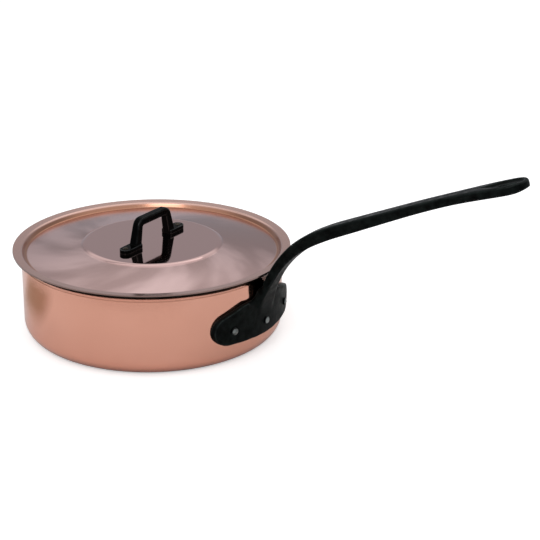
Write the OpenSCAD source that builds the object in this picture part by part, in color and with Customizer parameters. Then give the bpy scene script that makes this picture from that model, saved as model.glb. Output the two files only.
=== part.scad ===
// Copper saute pan with a steel lining, a riveted cast-iron handle and a lid.
// The pan stands on the XY plane with its axis on Z, and its handle points along +X.

/* [Pan] */
// Inside diameter of the wall
pan_d = 240; // [200:5:280]
// Height from the base to the top of the rim
pan_h = 76; // [60:1:110]
// Thickness of the copper
copper_t = 2.1; // [1.6:0.1:2.8]
// Thickness of the steel lining
lining_t = 0.4; // [0.3:0.1:0.8]
// Outside radius of the bend between base and wall
base_bend_r = 14; // [8:1:20]
// Outside radius of the curl at the lip
lip_r = 5; // [5:0.5:8]
// Height of the curl at the lip
lip_h = 4.2; // [3:0.2:4.6]

/* [Lid] */
// Thickness of the lid's copper
lid_copper_t = 1.1; // [0.8:0.1:1.6]
// Thickness of the lid's steel lining
lid_lining_t = 0.4; // [0.3:0.1:0.6]
// How far the flange stands out past the rim
flange_over = 6.4; // [4:0.2:10]
// Height of the flange's outer edge above the rim
flange_lift = 3.7; // [3:0.1:6]
// Upward slope of the flange, in degrees
flange_slope = 5; // [0:1:10]
// Slope of the step that seats in the rim, in degrees
step_slope = 60; // [50:1:68]
// How far inside the pan's wall the dome starts
dome_inset = 2; // [1.2:0.1:3]
// Slope of the dome at its outer edge, in degrees
dome_slope = 9; // [7:0.5:12]
// Radius of the raised round platform in the middle
platform_r = 66.4; // [55:0.2:80]
// Height of the raised platform
platform_h = 1.6; // [1:0.1:3]

/* [Lid handle] */
// Height of the arch above the platform
arch_h = 28; // [20:1:36]
// Length of the arch over the outside of its legs, at the feet
arch_l = 60; // [46:1:70]
// Lean of the legs from upright, in degrees
arch_lean = 13; // [0:1:20]
// Height of the bar, in the plane of the arch
arch_bar_t = 7.4; // [5:0.2:9]
// Width of the bar, across the arch
arch_bar_w = 7.8; // [5:0.2:9]
// Distance between the two rivets
foot_rivet_gap = 81; // [70:1:100]
// Width of a foot
foot_w = 11.2; // [9:0.2:16]
// Thickness of a foot
foot_t = 4.2; // [3:0.2:6]

/* [Handle plate] */
// Distance from the rim down to the plate's lower edge
plate_drop = 55; // [48:1:60]
// Straight width of the plate over its two lobes
plate_w = 120; // [104:1:140]
// Radius of the lobes
lobe_r = 14; // [10:0.5:16]
// Slope of the wings' upper edges, in degrees
wing_rise = 19; // [14:1:30]
// Thickness of the plate
plate_t = 5; // [4:0.2:7]
// Angle around the pan from the middle rivet to the outer ones
rivet_angle = 19; // [15:0.1:22]

/* [Handle stem] */
// Radius of the first curve, where the stem leaves the wall
root_curve_r = 94; // [85:1:115]
// Radius of the second curve, over the shoulder of the stem
shoulder_curve_r = 109; // [95:1:130]
// Rise of the straight grip, in degrees
grip_rise = 24.9; // [18:0.1:29]
// Length of the straight grip
grip_l = 64; // [40:1:90]
// Width of the stem at its root, where it flows out of the plate
root_w = 26; // [22:0.5:30]
// Width of the stem at its neck
neck_w = 16; // [13:0.5:20]
// Width of the grip
grip_w = 19.5; // [16:0.5:24]
// Width of the rounded end
end_w = 32; // [26:0.5:36]
// Thickness of the stem at its neck
neck_t = 8.6; // [7:0.2:11]
// Thickness at the shoulder, where it is greatest
shoulder_t = 11.2; // [9:0.2:14]
// Thickness of the grip and the rounded end
grip_t = 8; // [6:0.2:10]
// Length of the hanging hole
hole_l = 18; // [14:1:24]
// Width of the hanging hole
hole_w = 8; // [6:0.5:11]

/* [Rivets] */
// Shank radius of the pan's rivets
rivet_r = 2.6; // [2:0.1:3.2]
// Shank radius of the lid's rivets
lid_rivet_r = 2; // [1.5:0.1:2.5]

/* [Clearances] */
// Gap between the lid's step and the rim it seats in
seat_gap = 0.3; // [0.2:0.05:0.5]
// Gap round a rivet's shank and under its heads
rivet_gap = 0.05; // [0.03:0.01:0.1]

/* [Hidden] */
$fn = 96;
copper = [0.79, 0.53, 0.43];
lid_copper = [0.72, 0.58, 0.54];
steel = [0.74, 0.74, 0.73];
iron = [0.10, 0.11, 0.11];
rivet_steel = [0.45, 0.48, 0.46];

// Radii of the wall, and of the rim where the curl ends in a rounded crown
wall_t = copper_t + lining_t;
wall_in = pan_d / 2;
wall_out = wall_in + wall_t;
curl_z = pan_h - lip_h;
crown_drop = 1;
curl_end_h = lip_h - crown_drop;
rim_out = wall_out + lip_r - sqrt(lip_r ^ 2 - curl_end_h ^ 2);
rim_in = wall_out + lip_r - sqrt((lip_r + wall_t) ^ 2 - curl_end_h ^ 2);

// The crown is an arc from the inner to the outer edge of the curl's end
crown_half = (rim_out - rim_in) / 2;
crown_r = (crown_half ^ 2 + crown_drop ^ 2) / (2 * crown_drop);
crown_at = [(rim_in + rim_out) / 2, pan_h - crown_r];

// Radii of the small bends in the lid, on its top surface
lid_t = lid_copper_t + lid_lining_t;
riser_slope = 36;
riser_r = platform_h / (1 - cos(riser_slope));
riser_foot_r = 1.2;
dome_top_slope = 5.5;
crease_r = 1.6;
flange_bend_r = 2.6;
flange_edge = rim_out + flange_over;

// Sizes of the plate that follow from the pan
plate_in = wall_out + rivet_gap;
plate_out = plate_in + plate_t;
plate_z = pan_h - plate_drop;
plate_top = curl_z - 4;

// Heads of the rivets
head_r = 3.5;
head_h = 2.6;
head_side = 1.1;
inner_head_r = 6;
inner_head_h = 1.6;
lid_head_r = 2.9;
lid_head_h = 1.3;
lid_inner_head_r = 4.2;
lid_inner_head_h = 1.1;

// The plate's outline on the wall, from the middle of its foot round a lobe to the stem
foot_bend_r = 250;
foot_slope = 2;
lobe_at_y = plate_w / 2 - lobe_r;
lobe_slope = 180 - wing_rise;
shoulder_bend_r = 30;
shoulder_slope = 177;
shoulder_l = 7;
fillet_r = 7;
neck_edge_slope = 98;
neck_edge = neck_w / 2 + 3.2;
relief_h = 33;

// Places along the stem. It starts just above the middle rivet's head.
rivet_z = plate_z + 12.3;
root_r = plate_out - 1;
root_z = rivet_z + head_r + 0.2;
neck_slope = 59.6;
hump_slope = 30.7;
hump_ease_r = 275;
end_slope = 20;
end_ease_r = 1120;
end_l = 20;
end_inset = 17;
ring_step = 6;
section_n = 24;
dish_depth = 1.8;

// A bent line is walked from a start point: each leg is a straight length, then a bend of a
// radius to a new heading in degrees. A positive radius turns right and a negative one left.
function ahead(a) = [cos(a), sin(a)];
function leftward(a) = [-sin(a), cos(a)];
function bend_steps(turn) = max(4, ceil(abs(turn) / 7.5));

// Points of a bent line, shifted to its left by the offset s
function walk(p, a, legs, s = 0, i = 0) =
    i == len(legs) ? [] :
    let (
        straight_end = p + legs[i][0] * ahead(a),
        r = legs[i][1],
        b = legs[i][2],
        centre = straight_end - r * leftward(a),
        n = bend_steps(b - a)
    )
    concat(
        legs[i][0] > 0 ? [straight_end + s * leftward(a)] : [],
        r == 0 ? [] : [for (k = [1:n]) centre + (r + s) * leftward(a + (b - a) * k / n)],
        walk(centre + r * leftward(b), b, legs, s, i + 1)
    );

// Where a bend of radius r from heading a to heading b takes a walk
function bend_run(r, a, b) = r * [sin(a) - sin(b), cos(b) - cos(a)];
function reversed(list) = [for (i = [len(list) - 1:-1:0]) list[i]];
function last(list) = list[len(list) - 1];
function mirrored(points) = [for (p = reversed(points)) [-p[0], p[1]]];

// The pan's profile from the middle of the base to beyond the rim, at a depth into its wall
pan_legs = [
    [wall_out - base_bend_r, -base_bend_r, 90],
    [curl_z - base_bend_r, lip_r, 90 - asin(lip_h / lip_r) - 6]
];
function pan_line(depth) = concat([[0, depth]], walk([0, 0], 0, pan_legs, depth));

module rim_cut() {
    translate([0, -1])
        square([rim_out + lip_r, pan_h - crown_drop + 1]);
    translate(crown_at)
        circle(crown_r);
}

// A spun layer of the pan between two depths
module pan_layer(depth_a, depth_b) {
    rotate_extrude($fn = 180)
        intersection() {
            polygon(concat(pan_line(depth_a), reversed(pan_line(depth_b))));
            rim_cut();
        }
}

// Places a shape, drawn along +X from the pan's axis, at each of the three rivets
module at_rivets() {
    for (side = [-1, 0, 1])
        rotate([0, 0, side * rivet_angle])
            translate([0, 0, side == 0 ? rivet_z : lobe_z - 1])
                rotate([0, 90, 0])
                    children();
}

module rivet_holes() {
    at_rivets()
        translate([0, 0, wall_in - 10])
            cylinder(r = rivet_r + rivet_gap, h = 40);
}

module pan_shell() {
    color(copper)
        difference() {
            pan_layer(0, copper_t);
            rivet_holes();
        }
}

module pan_lining() {
    color(steel)
        difference() {
            pan_layer(copper_t, wall_t);
            rivet_holes();
        }
}

// The lid's top surface, walked from the axis out to the step that seats in the rim
dome_end = wall_in - dome_inset;
riser_run = bend_run(riser_r, 0, -riser_slope)[0];
riser_foot_run = bend_run(-riser_foot_r, -riser_slope, -dome_top_slope)[0];
dome_r = (dome_end - platform_r - riser_foot_run) / (sin(dome_slope) - sin(dome_top_slope));
crown_legs = [
    [platform_r - riser_run, riser_r, -riser_slope],
    [0, -riser_foot_r, -dome_top_slope],
    [0, dome_r, -dome_slope],
    [0, -crease_r, step_slope]
];

// The platform's height follows from the lid's underside resting on the rim, on the bend of
// the crease where that reaches the rim first and on the straight step otherwise
step_start = last(walk([0, 0], 0, crown_legs, -lid_t));
crease_under_r = crease_r + lid_t;
crease_at = step_start + crease_under_r * leftward(step_slope);
rim_reach = crown_at[0] - crease_at[0];
centre_gap = crown_r + seat_gap + crease_under_r;
platform_z = rim_reach < centre_gap * sin(step_slope) ?
    crown_at[1] - crease_at[1] + sqrt(centre_gap ^ 2 - rim_reach ^ 2) :
    (crown_r + seat_gap - leftward(step_slope) * (step_start - crown_at)) / cos(step_slope);

// The step's length follows from the height of the flange's edge above the rim
step_top = last(walk([0, platform_z], 0, crown_legs, 0));
flange_run = bend_run(flange_bend_r, step_slope, flange_slope);
edge_z = pan_h + flange_lift + lid_t * cos(flange_slope);
step_l = (edge_z - step_top[1] - flange_run[1]
    - (flange_edge - step_top[0] - flange_run[0]) * tan(flange_slope))
    / (sin(step_slope) - cos(step_slope) * tan(flange_slope));
flange_l = (flange_edge - step_top[0] - flange_run[0] - step_l * cos(step_slope))
    / cos(flange_slope);
lid_legs = concat(crown_legs, [[step_l, flange_bend_r, flange_slope], [flange_l, 0, flange_slope]]);
function lid_line(depth) =
    concat([[0, platform_z - depth]], walk([0, platform_z], 0, lid_legs, -depth));

// A spun layer of the lid between two depths
module lid_layer(depth_a, depth_b) {
    rotate_extrude($fn = 180)
        polygon(concat(lid_line(depth_a), reversed(lid_line(depth_b))));
}

module at_lid_rivets() {
    for (side = [-1, 1])
        translate([0, side * foot_rivet_gap / 2, 0])
            children();
}

module lid_rivet_holes() {
    at_lid_rivets()
        translate([0, 0, platform_z - 5])
            cylinder(r = lid_rivet_r + rivet_gap, h = 5 + foot_t + 5);
}

module lid_shell() {
    color(lid_copper)
        difference() {
            lid_layer(0, lid_copper_t);
            lid_rivet_holes();
        }
}

module lid_lining() {
    color(steel)
        difference() {
            lid_layer(lid_copper_t, lid_t);
            lid_rivet_holes();
        }
}

// A rounded section of half width a and half thickness b, squarer with a higher power.
// Its upper side is hollowed by the depth dish.
function rounded(c, power) = sign(c) * abs(c) ^ (2 / power);
function section(a, b, power, dish = 0) = [
    for (k = [0:section_n - 1])
        let (
            x = rounded(cos(k * 360 / section_n), power),
            z = rounded(sin(k * 360 / section_n), power)
        )
        [a * x, b * z - (z > 0 ? dish * max(0, 1 - (x / 0.72) ^ 2) : 0)]
];

// A solid swept through rings of points, closed at both ends
module lofted(rings) {
    m = len(rings[0]);
    last_ring = (len(rings) - 1) * m;
    polyhedron(
        points = [for (ring = rings) each ring],
        faces = concat(
            [[for (k = [0:m - 1]) k]],
            [for (i = [0:len(rings) - 2], k = [0:m - 1])
                let (a = i * m + k, b = i * m + (k + 1) % m)
                each [[a, a + m, b], [b, a + m, b + m]]],
            [[for (k = [m - 1:-1:0]) last_ring + k]]
        )
    );
}

// Places a ring across a line that runs in the XZ plane through p with heading a
function ring_at(p, a, points) = [
    for (q = points)
        let (c = p + q[1] * leftward(a))
        [c[0], q[0], c[1]]
];

// The stem's centre line, walked by its length: the point and heading at a length along it
stem_legs = [
    [0, root_curve_r, neck_slope],
    [0, shoulder_curve_r, hump_slope],
    [0, hump_ease_r, grip_rise],
    [grip_l, end_ease_r, end_slope],
    [end_l, 0, end_slope]
];
function bend_l(r, a, b) = abs(r * (a - b)) * PI / 180;
function leg_l(i, a) = stem_legs[i][0] + bend_l(stem_legs[i][1], a, stem_legs[i][2]);
function heading_before(i) = i == 0 ? 90 : stem_legs[i - 1][2];
function stem_l(i = 0) = i == len(stem_legs) ? 0 : leg_l(i, heading_before(i)) + stem_l(i + 1);
function stem_at(l, p = [root_r, root_z], a = 90, i = 0) =
    let (
        straight = stem_legs[i][0],
        r = stem_legs[i][1],
        b = stem_legs[i][2],
        bend = bend_l(r, a, b)
    )
    l <= straight ? [p + l * ahead(a), a] :
    l <= straight + bend + 0.001 || i == len(stem_legs) - 1 ?
        let (turned = r == 0 ? a : a - (l - straight) / r * 180 / PI)
        [p + straight * ahead(a) + bend_run(r, a, turned), turned] :
    stem_at(l - straight - bend, p + straight * ahead(a) + bend_run(r, a, b), b, i + 1);

// Lengths along the stem where its bends end
root_bend_l = bend_l(root_curve_r, 90, neck_slope);
neck_l = 0.92 * root_bend_l;
hump_l = root_bend_l + bend_l(shoulder_curve_r, neck_slope, hump_slope);
grip_start_l = hump_l + bend_l(hump_ease_r, hump_slope, grip_rise);
total_l = stem_l();
end_centre_l = total_l - end_w / 2;
flare_l = end_centre_l - 55;

// Half width and half thickness at a length along the stem, eased between stations
function eased(x) = let (t = min(1, max(0, x))) t * t * (3 - 2 * t);
function between(stations, l, i = 0) =
    i >= len(stations) - 2 || l <= stations[i + 1][0] ?
        let (t = eased((l - stations[i][0]) / (stations[i + 1][0] - stations[i][0])))
        stations[i][1] * (1 - t) + stations[i + 1][1] * t :
    between(stations, l, i + 1);
stem_widths = [
    [0, root_w * 0.36],
    [0.35 * root_bend_l, root_w / 2],
    [neck_l, neck_w / 2],
    [grip_start_l, grip_w / 2],
    [flare_l, grip_w / 2],
    [end_centre_l, end_w / 2]
];
stem_thicknesses = [
    [0, 0.6],
    [neck_l, neck_t / 2],
    [hump_l, shoulder_t / 2],
    [flare_l, grip_t / 2],
    [total_l, grip_t / 2]
];
dishes = [
    [0, 0],
    [flare_l, 0],
    [end_centre_l - 10, dish_depth],
    [total_l - 4, dish_depth]
];

// The rounded end narrows as a half circle, and its edge is turned down in thickness
function end_share(l) =
    let (x = max(0, l - end_centre_l) / (end_w / 2))
    sqrt(max(0.012, 1 - x * x));
function stem_ring(l) =
    let (
        at = stem_at(l),
        share = end_share(l),
        dish = between(dishes, l) * max(0, 2 * share - 1)
    )
    ring_at(at[0], at[1], section(
        between(stem_widths, l) * share,
        between(stem_thicknesses, l) * min(1, 0.55 + 0.6 * share),
        between([[0, 2], [neck_l, 3.2], [hump_l, 4.4], [total_l, 4.4]], l),
        dish
    ));
body_rings = ceil(end_centre_l / ring_step);
end_rings = 9;
stem_stations = concat(
    [for (i = [0:body_rings]) i * end_centre_l / body_rings],
    [for (i = [1:end_rings]) end_centre_l + end_w / 2 * sin(90 * i / end_rings)]
);

// The plate's right half is walked from the middle of its foot up to the stem's edge
foot_l = (lobe_at_y + lobe_r * sin(foot_slope) - bend_run(-foot_bend_r, 0, foot_slope)[0])
    / cos(foot_slope);
wing_l = (lobe_at_y + lobe_r * sin(lobe_slope)
    + bend_run(-shoulder_bend_r, lobe_slope, shoulder_slope)[0]
    + shoulder_l * cos(shoulder_slope)
    + bend_run(fillet_r, shoulder_slope, neck_edge_slope)[0] - neck_edge)
    / -cos(lobe_slope);
plate_legs = [
    [0, -foot_bend_r, foot_slope],
    [foot_l, -lobe_r, lobe_slope],
    [wing_l, -shoulder_bend_r, shoulder_slope],
    [shoulder_l, fillet_r, neck_edge_slope]
];
half_plate = walk([0, plate_z], 0, plate_legs);
neck_foot = last(half_plate);
neck_tip = [neck_foot[0] - (plate_top - neck_foot[1]) * tan(neck_edge_slope - 90), plate_top];
half_outline = plate_top > neck_foot[1] ? concat(half_plate, [neck_tip]) : half_plate;

// Height of the lobes' centres
lobe_z = plate_z + bend_run(-foot_bend_r, 0, foot_slope)[1] + foot_l * sin(foot_slope)
    + lobe_r * cos(foot_slope);

// A ring round the wall that the plate is cut from. Its back leaves the wall behind the neck.
module plate_ring() {
    ring_top = pan_h;
    rotate_extrude($fn = 180)
        polygon([
            [plate_in, plate_z - 1],
            [plate_out, plate_z - 1],
            [plate_out, ring_top],
            [plate_out - 0.6, ring_top],
            [plate_in, plate_z + relief_h]
        ]);
}

module plate() {
    intersection() {
        plate_ring();
        rotate([90, 0, 90])
            linear_extrude(plate_out + 1)
                polygon(concat(half_outline, mirrored(half_outline)));
    }
}

// An oval hole through the rounded end, square to its face
module hanging_hole() {
    at = stem_at(total_l - end_inset);
    half = (hole_l - hole_w) / 2;
    translate([at[0][0], 0, at[0][1]])
        rotate([0, -at[1], 0]) {
            for (x = [-half, half])
                translate([x, 0, -grip_t])
                    cylinder(d = hole_w, h = 2 * grip_t);
            translate([-half, -hole_w / 2, -grip_t])
                cube([2 * half, hole_w, 2 * grip_t]);
        }
}

module handle() {
    color(iron)
        difference() {
            union() {
                plate();
                lofted([for (l = stem_stations) stem_ring(l)]);
            }
            rivet_holes();
            hanging_hole();
        }
}

// Half of a domed head of radius r and height h, standing on the plane z = 0
module domed_head(r, h) {
    ball_r = (r * r + h * h) / (2 * h);
    rotate_extrude()
        intersection() {
            translate([0, h - ball_r])
                circle(ball_r);
            square([r, h]);
        }
}

// Pan rivets: a shank, an upright domed head on the plate and a broad low head on the lining
module handle_rivets() {
    inside = wall_in - rivet_gap;
    outside = plate_out + rivet_gap;
    head_sink = 0.3;
    color(rivet_steel)
        at_rivets() {
            translate([0, 0, inside - head_sink])
                cylinder(r = rivet_r, h = outside - inside + 2 * head_sink);
            difference() {
                translate([0, 0, outside - head_sink]) {
                    cylinder(r = head_r, h = head_sink + head_side);
                    translate([0, 0, head_sink + head_side])
                        domed_head(head_r, head_h - head_side);
                }
                rotate([0, -90, 0])
                    translate([0, 0, -head_r - 1])
                        cylinder(r = outside, h = 2 * head_r + 2, $fn = 180);
            }
            intersection() {
                translate([0, 0, inside])
                    rotate([180, 0, 0])
                        domed_head(inner_head_r, inner_head_h);
                rotate([0, -90, 0])
                    translate([0, 0, -inner_head_r - 1])
                        cylinder(r = inside, h = 2 * inner_head_r + 2, $fn = 180);
            }
        }
}

// The lid's arch: legs that lean in and widen to their feet, round corners and a level top bar
arch_bend_r = 5.5;
arch_flare = 1.2;
arch_leg_slope = 90 - arch_lean;
arch_start = [-arch_l / 2 + arch_bar_t / 2 / sin(arch_leg_slope), 1];
arch_leg_l = (arch_h - arch_bar_t / 2 - 1 - bend_run(arch_bend_r, arch_leg_slope, 0)[1])
    / sin(arch_leg_slope);
arch_top_l = -2 * (arch_start[0] + arch_leg_l * cos(arch_leg_slope)
    + bend_run(arch_bend_r, arch_leg_slope, 0)[0]);
arch_steps = 7;
function arch_corner(p, a, b) = [
    for (k = [0:arch_steps])
        let (h = a + (b - a) * k / arch_steps)
        [p + bend_run(arch_bend_r, a, h), h]
];
arch_line = let (
    corner = arch_start + arch_leg_l * ahead(arch_leg_slope),
    far_corner = [arch_top_l / 2, arch_h - arch_bar_t / 2]
)
concat(
    [[arch_start, arch_leg_slope]],
    arch_corner(corner, arch_leg_slope, 0),
    arch_corner(far_corner, 0, -arch_leg_slope),
    [[[-arch_start[0], arch_start[1]], -arch_leg_slope]]
);

// A foot: a flat pad with a round end under the rivet, and softened upper edges
foot_edge = 1;
module foot_profile() {
    polygon([
        [0, 0],
        [foot_w / 2, 0],
        [foot_w / 2, foot_t - foot_edge],
        [foot_w / 2 - foot_edge, foot_t],
        [0, foot_t]
    ]);
}

module foot() {
    inner_end = -arch_start[0] - arch_bar_t / 2 - 0.5;
    rivet_y = foot_rivet_gap / 2;
    translate([0, rivet_y, 0])
        rotate_extrude()
            foot_profile();
    translate([0, rivet_y, 0])
        rotate([90, 0, 0])
            linear_extrude(rivet_y - inner_end)
                union() {
                    foot_profile();
                    mirror([1, 0, 0])
                        foot_profile();
                }
}

module lid_handle() {
    color(iron)
        translate([0, 0, platform_z + rivet_gap])
            difference() {
                union() {
                    foot();
                    mirror([0, 1, 0])
                        foot();
                    rotate([0, 0, 90])
                        lofted([
                            for (i = [0:len(arch_line) - 1])
                                let (
                                    at = arch_line[i],
                                    wide = i == 0 || i == len(arch_line) - 1 ? arch_flare : 1,
                                    half_w = wide * arch_bar_w / 2,
                                    half_t = wide * arch_bar_t / 2
                                )
                                ring_at(at[0], at[1], section(half_w, half_t, 3))
                        ]);
                }
                translate([0, 0, -platform_z - rivet_gap])
                    lid_rivet_holes();
            }
}

// Lid rivets: a shank, a small domed head on the foot and a low head on the lining
module lid_rivets() {
    under = platform_z - lid_t - rivet_gap;
    over = platform_z + foot_t + 2 * rivet_gap;
    color(rivet_steel)
        at_lid_rivets() {
            translate([0, 0, under - 0.2])
                cylinder(r = lid_rivet_r, h = over - under + 0.4);
            translate([0, 0, over])
                domed_head(lid_head_r, lid_head_h);
            translate([0, 0, under])
                mirror([0, 0, 1])
                    domed_head(lid_inner_head_r, lid_inner_head_h);
        }
}

pan_shell();
pan_lining();
handle();
handle_rivets();
lid_shell();
lid_lining();
lid_handle();
lid_rivets();
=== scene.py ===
"""Looks for a copper saute pan with a riveted cast-iron handle and a lid that lifts off.

Sizes are written in millimetres, as on a drawing, and become metres when a piece is finished.
The pan stands on the XY plane with its axis on Z, and its handle points along +X.
"""

from __future__ import annotations

import logging
import math
from collections.abc import Callable, Sequence
from dataclasses import dataclass, field
from enum import Enum
from functools import cached_property

import bmesh
import bpy
from bmesh.types import BMesh, BMFace, BMVert
from mathutils import Matrix, Vector


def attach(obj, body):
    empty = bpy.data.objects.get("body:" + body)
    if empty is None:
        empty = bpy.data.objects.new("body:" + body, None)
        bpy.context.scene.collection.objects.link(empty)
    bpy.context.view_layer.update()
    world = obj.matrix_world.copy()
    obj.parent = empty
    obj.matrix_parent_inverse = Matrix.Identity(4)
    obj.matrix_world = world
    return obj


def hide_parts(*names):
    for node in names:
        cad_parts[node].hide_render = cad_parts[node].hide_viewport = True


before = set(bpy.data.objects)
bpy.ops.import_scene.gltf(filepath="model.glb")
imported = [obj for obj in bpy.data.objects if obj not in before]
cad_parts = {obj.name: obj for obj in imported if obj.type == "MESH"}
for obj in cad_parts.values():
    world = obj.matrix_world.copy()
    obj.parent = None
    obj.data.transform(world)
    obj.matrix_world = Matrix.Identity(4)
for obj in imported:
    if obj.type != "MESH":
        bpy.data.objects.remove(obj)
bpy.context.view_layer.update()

MM = 0.001
log = logging.getLogger("saute_pan")

Colour = tuple[float, float, float, float]
WHITE: Colour = (1, 1, 1, 1)
BEYOND = 1.0


class Body(Enum):
    """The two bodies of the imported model."""

    PAN = "pan"
    LID = "lid"


class Slot(Enum):
    """The material slots, by the names of the finishes."""

    POLISHED_COPPER = "polished_copper"
    SATIN_COPPER = "satin_copper"
    LINING_STEEL = "lining_steel"
    CAST_IRON = "cast_iron"
    RIVET_STEEL = "rivet_steel"


# Lines and profiles


@dataclass(frozen=True)
class Corner:
    """A corner of a drawn line: its place across and up, and the radius of its bend."""

    across: float
    up: float
    bend: float = 0.0

    @property
    def place(self) -> Vector:
        """The corner as a flat vector."""
        return Vector((self.across, self.up))


@dataclass(frozen=True)
class Leg:
    """A straight length, then a bend of a radius to a new heading in degrees."""

    straight: float
    radius: float
    heading: float


def ahead(heading: float) -> Vector:
    """Returns the flat direction of a heading in degrees."""
    angle = math.radians(heading)
    return Vector((math.cos(angle), math.sin(angle)))


def leftward(heading: float) -> Vector:
    """Returns the flat direction to the left of a heading in degrees."""
    angle = math.radians(heading)
    return Vector((-math.sin(angle), math.cos(angle)))


@dataclass(frozen=True)
class BentLine:
    """A line walked from a start point, one leg after another."""

    start: tuple[float, float]
    heading: float
    legs: tuple[Leg, ...]

    WIDEST_TURN = 100.0

    def corners(self) -> list[Corner]:
        """Returns the line's corners, where its straights would meet.

        A turn too wide for one corner is shared between two.

        Returns:
            The start, every corner with the radius of its bend, and the end.
        """
        place, heading = Vector(self.start), self.heading
        found = [Corner(place.x, place.y)]
        for leg in self.legs:
            place = place + leg.straight * ahead(heading)
            shares = 2 if abs(leg.heading - heading) > self.WIDEST_TURN else 1
            turn = (leg.heading - heading) / shares
            for _ in range(shares if leg.radius else 0):
                cut = leg.radius * math.tan(math.radians(abs(turn)) / 2)
                place = place + cut * ahead(heading)
                found.append(Corner(place.x, place.y, leg.radius))
                heading += turn
                place = place + cut * ahead(heading)
            heading = leg.heading
        return found + [Corner(place.x, place.y)]

    def at(self, length: float) -> tuple[Vector, float]:
        """Finds a point of the line by its length from the start.

        Args:
            length: The length along the line. Past the end, the line runs on straight.

        Returns:
            The flat point and the heading there, in degrees.
        """
        place, heading = Vector(self.start), self.heading
        for leg in self.legs:
            if length <= leg.straight:
                break
            place, length = place + leg.straight * ahead(heading), length - leg.straight
            if leg.radius:
                side = math.copysign(leg.radius, leg.heading - heading)
                run = math.radians(abs(leg.heading - heading)) * leg.radius
                turned = heading + math.degrees(min(length, run) / side)
                place = place + side * (leftward(heading) - leftward(turned))
                heading, length = turned, length - min(length, run)
            if length <= 0:
                return place, heading
        return place + length * ahead(heading), heading


def sunk(line: Sequence[Corner], depth: float) -> list[Corner]:
    """Moves an open line sideways to its right, so that its bends stay round one centre.

    Args:
        line: The corners of the line.
        depth: How far it moves.

    Returns:
        The corners of the moved line.
    """
    runs = [(b.place - a.place).normalized() for a, b in zip(line, line[1:])]
    moved = []
    for i, corner in enumerate(line):
        before, after = runs[max(0, i - 1)], runs[min(i, len(runs) - 1)]
        right = Vector((before.y, -before.x)) + Vector((after.y, -after.x))
        place = corner.place + depth * right / (1 + before.dot(after))
        turn = before.cross(after) if 0 < i < len(line) - 1 else 0.0
        bend = corner.bend + math.copysign(depth, turn) if corner.bend else 0.0
        moved.append(Corner(place.x, place.y, max(LEAST_BEND, bend) if corner.bend else 0.0))
    return moved


def eased(share: float) -> float:
    """Returns a share from 0 to 1 that starts and ends gently."""
    t = min(1.0, max(0.0, share))
    return t * t * (3 - 2 * t)


def between(stations: Sequence[tuple[float, float]], place: float) -> float:
    """Returns the eased value at a place between stations of (place, value)."""
    for (a, low), (b, high) in zip(stations, stations[1:]):
        if place <= b:
            return low + (high - low) * eased((place - a) / (b - a))
    return stations[-1][1]


# Meshes

ARC_STEP = 5.0
LEAST_TURN = 1e-4
LEAST_BEND = 0.05
NEARLY_ROUND = 0.98
SPIN_STEPS = 256
SHARP_ANGLE = 32.0
MERGE = 0.001
SMOOTHING = 0.5
NORMAL_WEIGHT = 50


def draw(bm: BMesh, corners: Sequence[Corner], closed: bool) -> None:
    """Draws a line of edges in the XZ plane and rounds its corners.

    Args:
        bm: The mesh that the line is drawn in.
        corners: The corners of the line, in order.
        closed: Whether the last corner joins the first.
    """
    verts = [bm.verts.new((c.across, 0, c.up)) for c in corners]
    for a, b in zip(verts, verts[1:] + (verts[:1] if closed else [])):
        bm.edges.new((a, b))
    for i, corner in enumerate(corners):
        if not corner.bend:
            continue
        after = corners[(i + 1) % len(corners)].place - corner.place
        turn = (corner.place - corners[i - 1].place).angle(after)
        if turn < LEAST_TURN:
            continue
        bmesh.ops.bevel(
            bm,
            geom=[verts[i]],
            offset=corner.bend * math.tan(turn / 2),
            offset_type="OFFSET",
            segments=max(3, math.ceil(math.degrees(turn) / ARC_STEP)),
            profile=0.5,
            affect="VERTICES",
            material=-1,
        )


def filled(corners: Sequence[Corner]) -> tuple[BMesh, BMFace]:
    """Makes a flat face from a closed line of corners, in the XZ plane.

    Args:
        corners: The corners of the outline.

    Returns:
        The mesh and its one face.
    """
    bm = bmesh.new()
    draw(bm, corners, closed=True)
    made = bmesh.ops.edgeloop_fill(bm, edges=bm.edges[:])
    return bm, made["faces"][0]


def spun(corners: Sequence[Corner], closed: bool = False, steps: int = SPIN_STEPS) -> BMesh:
    """Spins a drawn line about Z and closes the join where the turn meets itself, and its poles.

    Args:
        corners: The corners of the line.
        closed: Whether the last corner joins the first.
        steps: How many steps go round.

    Returns:
        The turned shape.
    """
    bm = bmesh.new()
    draw(bm, corners, closed)
    bmesh.ops.spin(
        bm,
        geom=bm.verts[:] + bm.edges[:],
        cent=(0, 0, 0),
        axis=(0, 0, 1),
        dvec=(0, 0, 0),
        angle=math.radians(360.0),
        steps=steps,
        use_merge=True,
        use_normal_flip=False,
        use_duplicate=False,
    )
    bmesh.ops.remove_doubles(bm, verts=bm.verts[:], dist=MERGE)
    return bm


def extrude(bm: BMesh, face: BMFace) -> tuple[BMFace, list[BMVert]]:
    """Extrudes a face in place, ready to be moved.

    Args:
        bm: The mesh.
        face: The face at the end of the solid so far.

    Returns:
        The new end face and its corners.
    """
    made = bmesh.ops.extrude_face_region(bm, geom=[face])["geom"]
    end = next(g for g in made if isinstance(g, BMFace))
    return end, list(end.verts)


def push(bm: BMesh, face: BMFace, way: tuple[float, float, float]) -> None:
    """Extrudes a face and moves its new end."""
    _, verts = extrude(bm, face)
    bmesh.ops.translate(bm, vec=way, verts=verts)


def turn(bm: BMesh, degrees: float, axis: str) -> None:
    """Turns a whole shape about an axis through the origin."""
    matrix = Matrix.Rotation(math.radians(degrees), 3, axis)
    bmesh.ops.rotate(bm, matrix=matrix, verts=bm.verts[:])


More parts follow.
